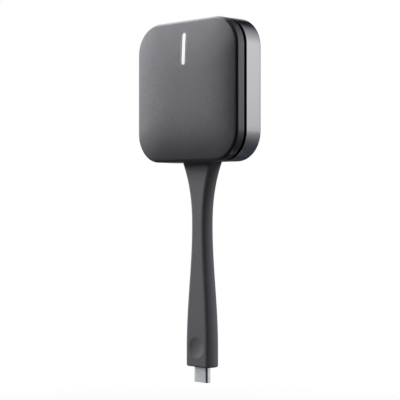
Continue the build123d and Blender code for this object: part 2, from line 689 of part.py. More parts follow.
def antenna_pin(spot):
    """Sprung pin from the board through the frame to the foil."""
    pin = post(PIN_DIAMETER, BOARD_FRONT, FRAME_FRONT, spot)
    return pin + post(PIN_BASE_DIAMETER, BOARD_FRONT, (BOARD_FRONT + FRAME_REAR) / 2, spot)


def connector_low():
    """Height of the cable connector's lower face."""
    return HEAD_CENTRE + BOARD_LOW + HEADER_RISE + HEADER_INSERTION - CONNECTOR_LENGTH


def connector_box(room, low, high):
    """The connector's outline in plan, widened all round by room."""
    return upright(Rectangle(CONNECTOR_WIDTH + 2 * room, CONNECTOR_THICK + 2 * room), low, high)


def board_header():
    """Socket on the board that the cable connector enters from below."""
    low = HEAD_CENTRE + BOARD_LOW + HEADER_RISE
    high = low + HEADER_INSERTION + HEADER_END
    front = -CONNECTOR_THICK / 2 - CONNECTOR_FIT - HEADER_WALL
    width = CONNECTOR_WIDTH + 2 * (CONNECTOR_FIT + HEADER_WALL)
    body = block(width, high - low, BOARD_FRONT, front, (0, (low + high) / 2 - HEAD_CENTRE))
    return body - connector_box(CONNECTOR_FIT, low, low + HEADER_INSERTION + CONNECTOR_FIT)


def tail_clamp():
    """Bent steel bridge that holds the flange down on the shell's lower wall."""
    bridge = upright(Rectangle(CLAMP_WIDTH, CLAMP_DEPTH), FLANGE_TOP, CLAMP_TOP)
    for side in (-1, 1):
        middle = (side * (EAR_INNER + EAR_OUTER) / 2, FLANGE_TOP + EAR_HEIGHT / 2 - HEAD_CENTRE)
        bridge += block(EAR_OUTER - EAR_INNER, EAR_HEIGHT, CLAMP_SHEET / 2, -CLAMP_SHEET / 2, middle)
    bridge -= cable_bore(FLANGE_TOP, CLAMP_TOP)
    for spot in CLAMP_SCREW_SPOTS:
        bridge -= post(M2_SHANK + 2 * SCREW_FIT, CLAMP_SHEET / 2, -CLAMP_SHEET / 2, spot)
    return bridge


def cable_wires():
    """One wire on the axis and a ring of wires round it, from the plug's card to the connector."""
    places = [(0, 0)] + [(WIRE_RING, 0)] * WIRE_COUNT
    wires = []
    for i, (x, y) in enumerate(places):
        wire = Pos(x, y, 0) * upright(Circle(WIRE_DIAMETER / 2), CARD_HIGH, connector_low())
        wires.append(Rot(0, 0, 360 * i / WIRE_COUNT) * wire)
    return wires


def inner_mould():
    """Hard moulding that grips the plug's rear, the card and the cable's end."""
    body = upright(RectangleRounded(INNER_WIDTH, INNER_THICK, INNER_CORNER), INNER_LOW, INNER_HIGH)
    body -= upright(plug_outline(-PLUG_FIT), INNER_LOW, PLUG_SEAT + PLUG_FIT)
    room = CARD_WIDTH + 2 * INNER_ROOM
    depth = CARD_THICK + 2 * (CARD_CHIP_THICK + INNER_ROOM)
    body -= upright(Rectangle(room, depth), PLUG_SEAT, JACKET_LOW)
    return body - cable_bore(JACKET_LOW, INNER_HIGH)


def plug_shell():
    """Drawn metal sleeve of the plug."""
    sleeve = upright(plug_outline(), -PLUG_REACH, PLUG_SEAT)
    sleeve = fillet(sleeve.faces().sort_by(Axis.Z)[0].edges(), PLUG_LIP_RADIUS)
    return sleeve - upright(plug_outline(PLUG_SHEET), -PLUG_REACH, PLUG_SEAT)


def contact_places():
    """X of each contact in one row."""
    return [(i - (CONTACT_COUNT - 1) / 2) * CONTACT_PITCH for i in range(CONTACT_COUNT)]


def contact_bar(x, side, room):
    """One contact, from near the mouth to the card, widened by room on its sides and back."""
    inner = TONGUE_SLOT_THICK / 2 - CONTACT_PROUD
    depth = CONTACT_THICK + room
    low = -PLUG_REACH + INSULATOR_SETBACK + CONTACT_SETBACK
    length = CARD_LOW + CONTACT_LAP - low
    bar = Box(CONTACT_WIDTH + 2 * room, depth, length, align=(Align.CENTER, Align.MIN, Align.MIN))
    bar = Pos(x, inner, low) * bar
    return bar if side > 0 else bar.mirror(Plane.XZ)


def latch_arm(side, room):
    """One sprung side arm of the latch, widened by room."""
    low = -PLUG_REACH + INSULATOR_SETBACK + LATCH_SETBACK
    arm = Box(LATCH_SHEET + room, LATCH_WIDTH + 2 * room, INSULATOR_SEAT - low,
              align=(Align.MIN, Align.CENTER, Align.MIN))
    arm = Pos(TONGUE_SLOT_WIDTH / 2, 0, low) * arm
    return arm if side > 0 else arm.mirror(Plane.YZ)


def plug_insulator():
    """Moulding inside the sleeve with the tongue's slot and a groove for each contact and latch arm."""
    low = -PLUG_REACH + INSULATOR_SETBACK
    body = upright(plug_outline(PLUG_SHEET + PLUG_FIT), low, INSULATOR_SEAT)
    body -= upright(Rectangle(TONGUE_SLOT_WIDTH, TONGUE_SLOT_THICK), low, low + TONGUE_SLOT_DEPTH)
    cuts = [contact_bar(x, side, CONTACT_FIT) for x in contact_places() for side in (-1, 1)]
    cuts += [latch_arm(side, CONTACT_FIT) for side in (-1, 1)]
    return body - cuts


def plug_card():
    """Small board between the contacts and the wires."""
    return upright(Rectangle(CARD_WIDTH, CARD_THICK), CARD_LOW, CARD_HIGH)


def main():
    os.makedirs("parts", exist_ok=True)
    jacket = Circle(JACKET_DIAMETER / 2) - Circle(JACKET_BORE / 2)

    write("front_cap", front_cap())
    write("light_guide", light_guide())
    write("button_plate", button_plate())
    write("mid_frame", mid_frame())
    write("rear_shell", rear_shell())
    write("return_domes", *[return_dome(spot) for spot in DOME_SPOTS])

    frame_screw = (M2_HEAD, M2_HEAD_HEIGHT, M2_SHANK, M2_LENGTH, FRAME_FRONT)
    board_screw = (M16_HEAD, M16_HEAD_HEIGHT, M16_SHANK, BOARD_SCREW_LENGTH, BOARD_FRONT)
    clamp_screw = (M2_HEAD, M2_HEAD_HEIGHT, M2_SHANK, CLAMP_SCREW_LENGTH, -CLAMP_SHEET / 2)
    write("frame_screws", *[screw(*frame_screw, spot) for spot in FRAME_SCREW_SPOTS])
    write("board_screws", *[screw(*board_screw, spot) for spot in BOARD_SCREW_SPOTS])
    write("clamp_screws", *[screw(*clamp_screw, spot) for spot in CLAMP_SCREW_SPOTS])

    write("main_board", main_board())
    chip_rear = BOARD_BACK + CHIP_THICK
    write("soc_chip", block(SOC_SIDE, SOC_SIDE, chip_rear, BOARD_BACK, (SOC_X, SOC_Z)))
    write("thermal_pad", block(SOC_SIDE, SOC_SIDE, SHELL_INSIDE, chip_rear, (SOC_X, SOC_Z)))
    write("memory_chip", block(MEMORY_WIDTH, MEMORY_HEIGHT, chip_rear, BOARD_BACK, (MEMORY_X, MEMORY_Z)))
    write("radio_module", on_board(RADIO_WIDTH, RADIO_HEIGHT, RADIO_THICK, (RADIO_X, RADIO_Z)))
    write("shield_frame", shield_frame())
    write("shield_lid", shield_lid())
    coil_spots = [(RADIO_X + i * COIL_SPACING / 2, COIL_Z) for i in (-1, 1)]
    write("power_coils", *[on_board(COIL_SIDE, COIL_SIDE, COIL_THICK, spot) for spot in coil_spots])
    write("crystal", on_board(CRYSTAL_LENGTH, CRYSTAL_WIDTH, CHIP_THICK, (CRYSTAL_X, CRYSTAL_Z)))

    write("switch_housing", switch_housing())
    write("switch_plunger", switch_plunger())
    write("switch_dome", switch_dome())
    write("switch_terminals", *switch_terminals())
    write("leds", *leds())
    write("led_baffle", led_baffle())
    write("antenna_left", antenna(-1))
    write("antenna_right", antenna(1))
    write("antenna_pins", *[antenna_pin(spot) for spot in PIN_SPOTS])

    write("tail_overmould", tail_overmould())
    write("root_insert", root_insert())
    write("tail_clamp", tail_clamp())
    write("cable_jacket", upright(jacket, JACKET_LOW, JACKET_TOP))
    write("cable_wires", *cable_wires())
    write("cable_connector", connector_box(0, connector_low(), connector_low() + CONNECTOR_LENGTH))
    write("board_header", board_header())

    write("plug_inner_mould", inner_mould())
    write("plug_card", plug_card())
    card_chip = Rectangle(CARD_CHIP_SIDE, CARD_CHIP_SIDE)
    chip_plane = Plane.XZ.offset(CARD_THICK / 2)
    chip_middle = (CARD_LOW + CARD_HIGH) / 2
    write("plug_card_chip", extrude(chip_plane * Pos(0, chip_middle) * card_chip, amount=CARD_CHIP_THICK))
    write("plug_shell", plug_shell())
    write("plug_insulator", plug_insulator())
    write("plug_contacts", *[contact_bar(x, side, 0) for x in contact_places() for side in (-1, 1)])
    write("plug_latch", *[latch_arm(side, 0) for side in (-1, 1)])


main()
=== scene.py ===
import bmesh
import bpy
import numpy as np
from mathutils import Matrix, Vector


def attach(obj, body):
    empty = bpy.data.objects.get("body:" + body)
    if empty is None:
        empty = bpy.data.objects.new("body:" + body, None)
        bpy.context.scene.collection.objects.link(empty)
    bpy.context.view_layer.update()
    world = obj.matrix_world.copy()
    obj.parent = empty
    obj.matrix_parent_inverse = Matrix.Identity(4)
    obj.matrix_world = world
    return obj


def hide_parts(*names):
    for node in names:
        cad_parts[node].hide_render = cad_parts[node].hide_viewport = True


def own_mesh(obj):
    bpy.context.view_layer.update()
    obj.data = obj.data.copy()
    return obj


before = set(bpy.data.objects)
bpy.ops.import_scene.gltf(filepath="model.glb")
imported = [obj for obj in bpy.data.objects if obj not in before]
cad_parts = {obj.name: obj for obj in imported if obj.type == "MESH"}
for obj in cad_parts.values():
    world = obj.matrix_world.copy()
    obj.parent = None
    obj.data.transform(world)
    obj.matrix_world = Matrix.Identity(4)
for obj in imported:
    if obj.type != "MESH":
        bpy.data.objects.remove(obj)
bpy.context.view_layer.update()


# Camera: level with the upper half of the tail, looking at the front and the right side.
# The long lens keeps the head's edges nearly parallel, and the small shift frames the dongle.
camera_data = bpy.data.cameras.new("camera")
camera_data.sensor_width = 36.0
camera_data.lens = 115.0
camera_data.shift_y = 0.01245
camera_data.clip_start = 0.01
camera = bpy.data.objects.new("camera", camera_data)
camera.location = (0.38176, -0.38585, 0.06856)
camera.rotation_euler = (np.pi / 2, 0.0, np.radians(44.8))
bpy.context.scene.collection.objects.link(camera)
bpy.context.scene.camera = camera
bpy.context.scene.view_settings.view_transform = "Standard"


# Rear shell: a drawn aluminium tub, 59 mm square and 9 mm deep, open to the front.
# It is anodised grey with a satin finish. Its back edge is rounded and its rim is broken.
# Bosses on its floor take the screws of the frame, of the board and of the tail's clamp.
HEAD_Z = 116.35
SHELL_HALF, SHELL_CORNER, SHELL_WALL = 29.65, 12.2, 1.4
SHELL_FRONT, SHELL_BACK, SHELL_FLOOR = -4.34, 5.0, 3.8
BACK_RADIUS, RIM_EDGE = 1.6, 0.05
TAIL_SLOT, SLOT_LOW, SLOT_HIGH = (9.3, 3.75, 2.7), 84.0, 88.5


def turn(straight, arc):
    """One round of a rounded rectangle, in four columns: the signs of the core rectangle's corner,
    which run evenly along each straight, and the direction of the corner radius, which turns a
    quarter evenly over each corner."""
    quarter = np.linspace(0, np.pi / 2, arc + 1)
    run = np.linspace(-1, 1, straight + 1)[1:-1]
    corners, sides = np.ones(arc + 1), np.ones(straight - 1)
    rows = []
    for k, (a, b) in enumerate(((1, 1), (-1, 1), (-1, -1), (1, -1))):
        angle = quarter + k * np.pi / 2
        rows.append(np.stack([a * corners, b * corners, np.cos(angle), np.sin(angle)], 1))
        if k % 2 == 0:
            rows.append(np.stack([-a * run, b * sides, 0 * run, b * sides], 1))
        else:
            rows.append(np.stack([a * sides, -b * run, a * sides, 0 * run], 1))
    return np.concatenate(rows)


def ring(outline, step, level):
    """A level of a grid: the outline's half width, half height and corner radius, each grown by the
    step, and then where the level lies."""
    return (*(size + step for size in outline), level)


def rounding(radius):
    """Pairs of inset and rise along a rounded edge, from the side to the end: radius times
    1 - cosine and 1 - sine of a quarter turn."""
    quarter = np.linspace(0, np.pi / 2, 9)
    return zip(radius * (1 - np.cos(quarter)), radius * (1 - np.sin(quarter)))


def outlines(levels, lap):
    """Rounded rectangles, one for each level's half width, half height and corner radius: the core's
    corner plus the radius times the direction. Two arrays, level by place round the outline."""
    half_a, half_b, corner = (np.asarray(levels, float)[:, k : k + 1] for k in range(3))
    across = (half_a - corner) * lap[:, 0] + corner * lap[:, 2]
    up = (half_b - corner) * lap[:, 1] + corner * lap[:, 3]
    return across, up


def head_grid(levels, lap, middle=HEAD_Z):
    """Outlines over the head: X across, Z up from the middle, and Y from the level's fourth number."""
    across, up = outlines(levels, lap)
    return np.stack([across, np.asarray(levels, float)[:, 3:4] + 0 * across, up + middle], 2)


def upright_grid(levels, lap):
    """Outlines in plan: X across, Y in depth, and Z from the level's fourth number."""
    across, depth = outlines(levels, lap)
    return np.stack([across, depth, np.asarray(levels, float)[:, 3:4] + 0 * across], 2)


def turned(profile, x, z, steps=32):
    """A profile of radius and Y turned round the axis through x, z: radius times cosine and sine."""
    radius, depth = np.asarray(profile, float).T[:, :, None]
    angle = np.linspace(0, 2 * np.pi, steps, endpoint=False)
    across, up = radius * np.cos(angle), radius * np.sin(angle)
    return np.stack([x + across, depth + 0 * across, z + up], 2)


def skin(name, grids, material, sharp=28.0, wrap=False):
    """One mesh from grids of points in millimetres. Each grid closes on itself round its columns, and
    a wrapped one from its last row to its first. Points that meet are merged, so that poles close."""
    points, faces, start = [], [], 0
    for grid in grids:
        rows, cols = grid.shape[:2]
        i = np.arange(rows if wrap else rows - 1)[:, None]
        j = np.arange(cols)[None, :]
        here, below, beside = i * cols, (i + 1) % rows * cols, (j + 1) % cols
        quads = np.stack([here + j, here + beside, below + beside, below + j], 2)
        faces.append(quads.reshape(-1, 4) + start)
        points.append(grid.reshape(-1, 3))
        start += rows * cols
    mesh = bpy.data.meshes.new(name)
    mesh.from_pydata((np.concatenate(points) * 0.001).tolist(), [], np.concatenate(faces).tolist())
    work = bmesh.new()
    work.from_mesh(mesh)
    bmesh.ops.remove_doubles(work, verts=work.verts, dist=2e-7)
    bmesh.ops.recalc_face_normals(work, faces=work.faces)
    work.to_mesh(mesh)
    work.free()
    mesh.shade_smooth()
    mesh.set_sharp_from_angle(angle=np.radians(sharp))
    mesh.materials.append(material)
    piece = bpy.data.objects.new(name, mesh)
    bpy.context.scene.collection.objects.link(piece)
    return piece


def fit(piece, body, slot, *nodes):
    """The piece rides on its body and stands for the CAD nodes, which it hides. The slot is not used.
    """
    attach(piece, body)
    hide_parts(*nodes)


def cut(piece, tool):
    """Takes the tool's volume out of the piece, and the tool away."""
    knife = piece.modifiers.new("cut", "BOOLEAN")
    knife.operation = "DIFFERENCE"
    knife.solver = "EXACT"
    knife.object = tool
    bpy.context.view_layer.update()
    seen = piece.evaluated_get(bpy.context.evaluated_depsgraph_get())
    result = bpy.data.meshes.new_from_object(seen)
    piece.modifiers.clear()
    piece.data = result
    bpy.data.objects.remove(tool)


def break_edges(piece, width):
    """Sharp edges get a small rounding of this width in millimetres, as deburred edges have."""
    bevel = piece.modifiers.new("edge_break", "BEVEL")
    bevel.width = width * 0.001
    bevel.segments = 2
    bevel.limit_method = "ANGLE"
    bevel.angle_limit = np.radians(20)
    bevel.harden_normals = True


def add(owner, kind, inputs, **settings):
    """A node of the owner's tree: its first output. An input is a number, a colour or an output."""
    node = owner.node_tree.nodes.new(kind)
    for key, value in settings.items():
        setattr(node, key, value)
    for key, value in inputs.items():
        if isinstance(value, bpy.types.NodeSocket):
            owner.node_tree.links.new(value, node.inputs[key])
        else:
            node.inputs[key].default_value = value
    return node.outputs[0]


def blend(owner, factor, first, second):
    """The colour that lies at this factor between two, each of them a colour or an output."""
    inputs = {0: factor, 6: first, 7: second}
    return add(owner, "ShaderNodeMix", inputs, data_type="RGBA").node.outputs[2]


def own_place(material):
    """Where a point lies in the piece's own frame, in metres."""
    return material.node_tree.nodes.new("ShaderNodeTexCoord").outputs["Object"]


def finish(name, dark, light, rough, grain, bump, metal=0.0, stretch=(1, 1, 1), **sockets):
    """A surface whose colour wanders between two tones, with a fine grain in its relief and gloss.
    rough is its lowest and highest roughness, grain the size and bump the height of a grain in mm.
    Tone and gloss follow the grain and, for a small share, clouds of 25 times its size. Their whole
    range is spread over the middle of the noise, where most of its values lie."""
    cloud_size, cloud_share, middle = 25, 0.12, (0.35, 0.65)
    material = bpy.data.materials.new(name)
    material.use_nodes = True
    place = add(material, "ShaderNodeMapping", {"Vector": own_place(material), "Scale": stretch})
    noise = {"Vector": place, "Scale": 1000 / grain, "Detail": 3.0, "Roughness": 0.6}
    fine = add(material, "ShaderNodeTexNoise", noise)
    noise.update({"Scale": 1000 / cloud_size / grain, "Detail": 4.0})
    clouds = add(material, "ShaderNodeTexNoise", noise)
    both = add(material, "ShaderNodeMix", {0: cloud_share, 2: fine, 3: clouds})
    limits = {"Value": both, "From Min": middle[0], "From Max": middle[1]}
    wander = add(material, "ShaderNodeMapRange", limits)
    gloss = add(material, "ShaderNodeMapRange", {**limits, "To Min": rough[0], "To Max": rough[1]})
    relief = add(material, "ShaderNodeBump", {"Height": fine, "Distance": bump * 0.001})
    tone = blend(material, wander, (*dark, 1), (*light, 1))
    shader = material.node_tree.nodes["Principled BSDF"]
    for output, key in ((tone, "Base Color"), (gloss, "Roughness"), (relief, "Normal")):
        material.node_tree.links.new(output, shader.inputs[key])
    shader.inputs["Metallic"].default_value = metal
    for key, value in sockets.items():
        shader.inputs[key.replace("_", " ")].default_value = value
    return material


# A few rings between the middle and the wall keep the faces of floor and back even.
head_lap = turn(16, 22)
tub = (SHELL_HALF, SHELL_HALF, SHELL_CORNER)
shell_levels = [(0, 0, 0, SHELL_FLOOR), (14, 14, 5, SHELL_FLOOR), ring(tub, -SHELL_WALL, SHELL_FLOOR)]
shell_levels += [ring(tub, -SHELL_WALL, SHELL_FRONT), ring(tub, -RIM_EDGE, SHELL_FRONT)]
shell_levels += [ring(tub, 0, SHELL_FRONT + RIM_EDGE)]
shell_levels += [ring(tub, -inset, SHELL_BACK - rise) for inset, rise in rounding(BACK_RADIUS)]
shell_levels += [(18, 18, 7, SHELL_BACK), (8, 8, 3, SHELL_BACK), (0, 0, 0, SHELL_BACK)]
anodised = finish("anodised_shell", (0.556, 0.557, 0.571), (0.618, 0.617, 0.63), (0.18, 0.21),
                  0.56, 0.003, 1.0)
shell = skin("rear_tub", [head_grid(shell_levels, head_lap)], anodised)
slot_levels = [(0, 0, 0, SLOT_LOW), (*TAIL_SLOT, SLOT_LOW)]
slot_levels += [(*TAIL_SLOT, SLOT_HIGH), (0, 0, 0, SLOT_HIGH)]
cut(shell, skin("slot_tool", [upright_grid(slot_levels, turn(8, 12))], anodised))
fit(shell, "housing", "shell_metal", "rear_shell")
break_edges(shell, 0.05)

BOSS_ROOT = 4.2
FRAME_BOSS, BOARD_BOSS, CLAMP_BOSS = 21.65, (19.65, 13.5), (14.75, -21.25)


def boss(radius, hole, front, depth, x, z):
    """A screw boss from the shell's floor to its front, with a blind hole, as a turned profile."""
    profile = [(0, BOSS_ROOT), (radius, BOSS_ROOT), (radius, front)]
    profile += [(hole, front), (hole, depth), (0, depth)]
    return turned(profile, x, HEAD_Z + z)


bosses = [boss(2.2, 1.0, -3.7, 0.4, i * FRAME_BOSS, k * FRAME_BOSS) for i in (-1, 1) for k in (-1, 1)]
bosses += [boss(2.0, 0.8, 2.4, 3.52, i * BOARD_BOSS[0], i * BOARD_BOSS[1]) for i in (-1, 1)]
bosses += [boss(2.2, 1.0, 0.5, 3.22, i * CLAMP_BOSS[0], CLAMP_BOSS[1]) for i in (-1, 1)]
fit(skin("tub_bosses", bosses, anodised), "housing", "shell_metal", "rear_shell")


# Tail: one soft elastomer moulding over the cable, from the plug up into the head.
# It is moulded matt dark grey, with a flat front, bowed sides and a thumb dish near its toe.
# Its root flange, with a hard insert in it, is clamped inside the shell.
TAIL_TOP, NECK_Z, TOE_Z = 86.7, 60.0, 6.0
TOE_WIDTH, NARROWING, FLARE = 14.55, 5.8, 10.4
TOE_THICK, THINNING, SWELL = 7.4, 0.9, 0.8
TAPER_POWER, FLARE_POWER, SWELL_POWER = 1.1, 2.25, 3.0
TAIL_CORNER, TOE_EDGE, BOW = 1.9, 0.75, np.radians(28)
DISH_Z, DISH_RADIUS, DISH_DEPTH, DISH_TOP, DISH_FOOT = 8.3, 4.4, 0.75, 14, 3
FLANGE, ROOT, FLANGE_LOW, FLANGE_TOP = (12, 3.5, TAIL_CORNER), (9.2, 3.65, TAIL_CORNER), 88.1, 92.6
PLUG_HOLE, MOULD_HOLE, CABLE_HOLE = (4.25, 1.32, 1.32), (5.3, 2.3, 1.2), (1.75, 1.75, 1.75)
MOULD_LOW, MOULD_TOP = 1.0, 17


def tail_turn(flat, arc, side):
    """One round of the tail's section, in two columns: the share of the flat's half width, and the
    angle of the outward direction. The bowed sides turn by twice BOW, the corners by the rest."""
    bow = np.linspace(-BOW, BOW, side + 1)[:-1]
    corner = np.linspace(BOW, np.pi / 2, arc + 1)[:-1]
    run = np.linspace(1, -1, flat + 1)[:-1]
    half = [np.stack([np.ones(side), bow], 1), np.stack([np.ones(arc), corner], 1)]
    half += [np.stack([run, np.full(flat, np.pi / 2)], 1)]
    half += [np.stack([-np.ones(arc), corner + np.pi / 2 - BOW], 1)]
    first = np.concatenate(half)
    return np.concatenate([first, np.stack([-first[:, 0], first[:, 1] + np.pi], 1)])


def tail_grid(levels, lap):
    """Three arcs round each corner region: a long arc over the bowed side, the corner's own arc, and
    a straight flat. The long arc's centre is set so that it meets the corner's arc without a bend."""
    half_x, half_y, corner, height = (np.asarray(levels, float)[:, k : k + 1] for k in range(4))
    share, angle = lap[:, 0], lap[:, 1]
    reach = (half_y - corner) / np.sin(BOW)
    bow_cos = np.maximum(np.abs(np.cos(angle)), np.cos(BOW))
    bow_sin = np.clip(np.sin(angle), -np.sin(BOW), np.sin(BOW))
    x = share * (half_x - corner - reach * (1 - bow_cos)) + corner * np.cos(angle)
    y = reach * bow_sin + corner * np.sin(angle)
    return np.stack([x, y, height + 0 * x], 2)


def tail_size(z):
    """Half width and half thickness: a power of a raised cosine from toe to neck, and powers of the
    rest above it."""
    below = (1 - np.cos(np.pi * np.clip((z - TOE_Z) / (NECK_Z - TOE_Z), 0, 1))) / 2
    below = below**TAPER_POWER
    above = np.clip((z - NECK_Z) / (TAIL_TOP - NECK_Z), 0, 1)
    width = TOE_WIDTH - NARROWING * below + FLARE * above**FLARE_POWER
    thick = TOE_THICK - THINNING * below + SWELL * above**SWELL_POWER
    return width / 2, thick / 2


def thumb_dish(grid):
    """The front is pushed in by a ball: its depth is the ball's height over the flat front, and a
    small square root blends it into the flat. Only the skin around the dish is moved."""
    ball = (DISH_RADIUS**2 + DISH_DEPTH**2) / (2 * DISH_DEPTH)
    softness, skin_depth, around = 0.0009, 0.9, 0.4
    x, y, z = grid[..., 0], grid[..., 1], grid[..., 2]
    front = -tail_size(DISH_Z)[1]
    rise = np.sqrt(np.maximum(ball**2 - x**2 - (z - DISH_Z) ** 2, 0)) + front + DISH_DEPTH - ball
    gap = rise - y
    pushed = y + (gap + np.sqrt(gap**2 + softness)) / 2
    near = (y < front + skin_depth) & (np.hypot(x, z - DISH_Z) < DISH_RADIUS + around)
    grid[..., 1] = np.where(near, pushed, y)
    return grid


# The rows lie closer from DISH_TOP down to DISH_FOOT, where the dish is.
tail_lap = tail_turn(48, 14, 8)
heights = [np.linspace(TAIL_TOP, DISH_TOP, 70)[:-1], np.linspace(DISH_TOP, DISH_FOOT, 56)[:-1]]
heights += [np.linspace(DISH_FOOT, TOE_EDGE, 6)]
toe = (TOE_WIDTH / 2, TOE_THICK / 2, TAIL_CORNER)
tail_levels = [(*FLANGE, FLANGE_TOP), (*FLANGE, FLANGE_LOW), (*ROOT, FLANGE_LOW)]
tail_levels += [(*tail_size(z), TAIL_CORNER, z) for z in np.concatenate(heights)]
tail_levels += [ring(toe, -inset, rise) for inset, rise in rounding(TOE_EDGE)]
tail_levels += [(*PLUG_HOLE, 0), (*PLUG_HOLE, MOULD_LOW), (*MOULD_HOLE, MOULD_LOW)]
tail_levels += [(*MOULD_HOLE, MOULD_TOP), (*CABLE_HOLE, MOULD_TOP), (*CABLE_HOLE, FLANGE_TOP)]
rubber = finish("tail_rubber", (0.058, 0.058, 0.064), (0.069, 0.069, 0.076), (0.5, 0.56), 0.45, 0.006,
                Specular_IOR_Level=0.15)
tail = skin("tail", [thumb_dish(tail_grid(tail_levels, tail_lap))], rubber, sharp=40.0, wrap=True)
fit(tail, "housing", "tail_rubber", "tail_overmould")


def dress(material, *names):
    """CAD nodes keep their mesh and wear this material in place of the plain one."""
    for name in names:
        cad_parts[name].material_slots[0].material = material


glass_nylon = finish("glass_nylon", (0.5, 0.49, 0.45), (0.6, 0.59, 0.55), (0.4, 0.55), 0.25, 0.004)
dress(glass_nylon, "root_insert")


# Tail clamp and its screws: a bent steel bridge over the flange, driven down on the shell's bosses.
# The sheet is blanked and bare, and the screws are zinc-plated with a cross recess.
sheet_steel = finish("clamp_sheet", (0.42, 0.42, 0.42), (0.56, 0.56, 0.55), (0.28, 0.42), 0.2, 0.003,
                     1.0, (1, 1, 0.06))
zinc = finish("zinc_plate", (0.5, 0.5, 0.52), (0.66, 0.66, 0.66), (0.2, 0.34), 0.15, 0.002, 1.0)
dress(sheet_steel, "tail_clamp")
dress(zinc, "clamp_screws", "board_screws", "frame_screws")


# Cable: seven copper wires in a black jacket, moulded into the tail.
# The wires end on the plug's card below and in a white connector above.
jacket = finish("cable_jacket", (0.022, 0.022, 0.023), (0.034, 0.034, 0.035), (0.5, 0.65), 0.2, 0.004)
strands = finish("bare_strands", (0.62, 0.31, 0.18), (0.8, 0.46, 0.3), (0.2, 0.32), 0.12, 0.01,
                 1.0, (1, 1, 0.05))
connector_plastic = finish("connector_nylon", (0.66, 0.64, 0.58), (0.76, 0.74, 0.69), (0.38, 0.5),
                           0.2, 0.003)
dress(jacket, "cable_jacket")
dress(strands, "cable_wires")
dress(connector_plastic, "cable_connector", "board_header")


# Plug: a drawn steel sleeve, flat oval, nickel-plated with a satin surface.
# A black moulding inside it holds two rows of gold-plated contacts and two sprung side arms.
# Its rear and a small card with one chip sit in a hard moulding inside the tail.
PLUG_HALF, PLUG_THICK, PLUG_SHEET, PLUG_LIP = 4.18, 1.25, 0.3, 0.08
PLUG_TIP, PLUG_REAR = -6.65, 4.5
sleeve = (PLUG_HALF, PLUG_THICK, PLUG_THICK)
plug_levels = [ring(sleeve, 0, PLUG_REAR)]
plug_levels += [ring(sleeve, -inset, PLUG_TIP + rise) for inset, rise in rounding(PLUG_LIP)]
plug_levels += [ring(sleeve, -PLUG_SHEET, PLUG_TIP), ring(sleeve, -PLUG_SHEET, PLUG_REAR)]
nickel = finish("satin_nickel", (0.83, 0.84, 0.85), (0.89, 0.90, 0.91), (0.32, 0.36), 0.3, 0.002, 0.97,
                Anisotropic=0.95, Anisotropic_Rotation=0.25)
plug = skin("plug_sleeve", [upright_grid(plug_levels, turn(12, 20))], nickel, wrap=True)
fit(plug, "housing", "plug_metal", "plug_shell")

plug_black = finish("plug_moulding", (0.012, 0.012, 0.013), (0.02, 0.02, 0.021), (0.3, 0.42),
                    0.15, 0.002)
gold = finish("gold_plate", (0.8, 0.56, 0.2), (0.9, 0.68, 0.3), (0.16, 0.26), 0.1, 0.001,
              1.0, (1, 1, 0.1))
spring = finish("spring_sheet", (0.56, 0.56, 0.56), (0.7, 0.7, 0.69), (0.18, 0.3), 0.12, 0.0015,
                1.0, (0.08, 1, 1))
hard_mould = finish("inner_moulding", (0.5, 0.49, 0.46), (0.58, 0.57, 0.54), (0.45, 0.6), 0.25, 0.004)
dress(plug_black, "plug_insulator")
dress(gold, "plug_contacts")
dress(spring, "plug_latch")
dress(hard_mould, "plug_inner_mould")


# Main board: glass laminate under green solder mask, with copper runs showing through it.
# Chips in black resin, a tinned shield, coils, a crystal and a radio module are soldered to it.
# A grey gap pad takes the large chip's heat to the shell.
def board_finish(name):
    """Solder mask: runs are the narrow bands between the cells of a square-cornered cell pattern,
    laid flat on the board, and they stand a little proud and lighter than the ground."""
    material = finish(name, (0.012, 0.085, 0.036), (0.018, 0.11, 0.05), (0.2, 0.3), 0.4, 0.002)
    flat = add(material, "ShaderNodeMapping", {"Vector": own_place(material), "Scale": (1, 0, 1)})
    cells = {"Vector": flat, "Scale": 420.0}
    near = add(material, "ShaderNodeTexVoronoi", cells, distance="MANHATTAN")
    far = add(material, "ShaderNodeTexVoronoi", cells, distance="MANHATTAN", feature="F2")
    gap = add(material, "ShaderNodeMath", {0: far, 1: near}, operation="SUBTRACT")
    band = {"Value": gap, "From Min": 0.12, "From Max": 0.17, "To Min": 1.0, "To Max": 0.0}
    run = add(material, "ShaderNodeMapRange", band)
    shader = material.node_tree.nodes["Principled BSDF"]
    ground = shader.inputs["Base Color"].links[0].from_socket
    tone = blend(material, run, ground, (0.03, 0.19, 0.08, 1))
    relief = add(material, "ShaderNodeBump", {"Height": run, "Distance": 0.00003})
    material.node_tree.links.new(tone, shader.inputs["Base Color"])
    material.node_tree.links.new(relief, shader.inputs["Normal"])
    return material


chip_resin = finish("chip_resin", (0.016, 0.016, 0.017), (0.028, 0.028, 0.029), (0.42, 0.58),
                    0.12, 0.004)
tin = finish("tinned_sheet", (0.56, 0.56, 0.55), (0.72, 0.72, 0.7), (0.22, 0.4), 0.3, 0.002, 1.0)
ferrite = finish("ferrite", (0.05, 0.048, 0.046), (0.085, 0.082, 0.08), (0.55, 0.75), 0.1, 0.008)
dress(board_finish("solder_mask"), "main_board")
dress(board_finish("card_mask"), "plug_card")
dress(chip_resin, "soc_chip", "memory_chip", "plug_card_chip")
dress(tin, "radio_module", "shield_frame", "shield_lid", "crystal")
dress(ferrite, "power_coils")
dress(finish("gap_pad", (0.3, 0.32, 0.36), (0.4, 0.42, 0.46), (0.7, 0.85), 0.2, 0.01), "thermal_pad")


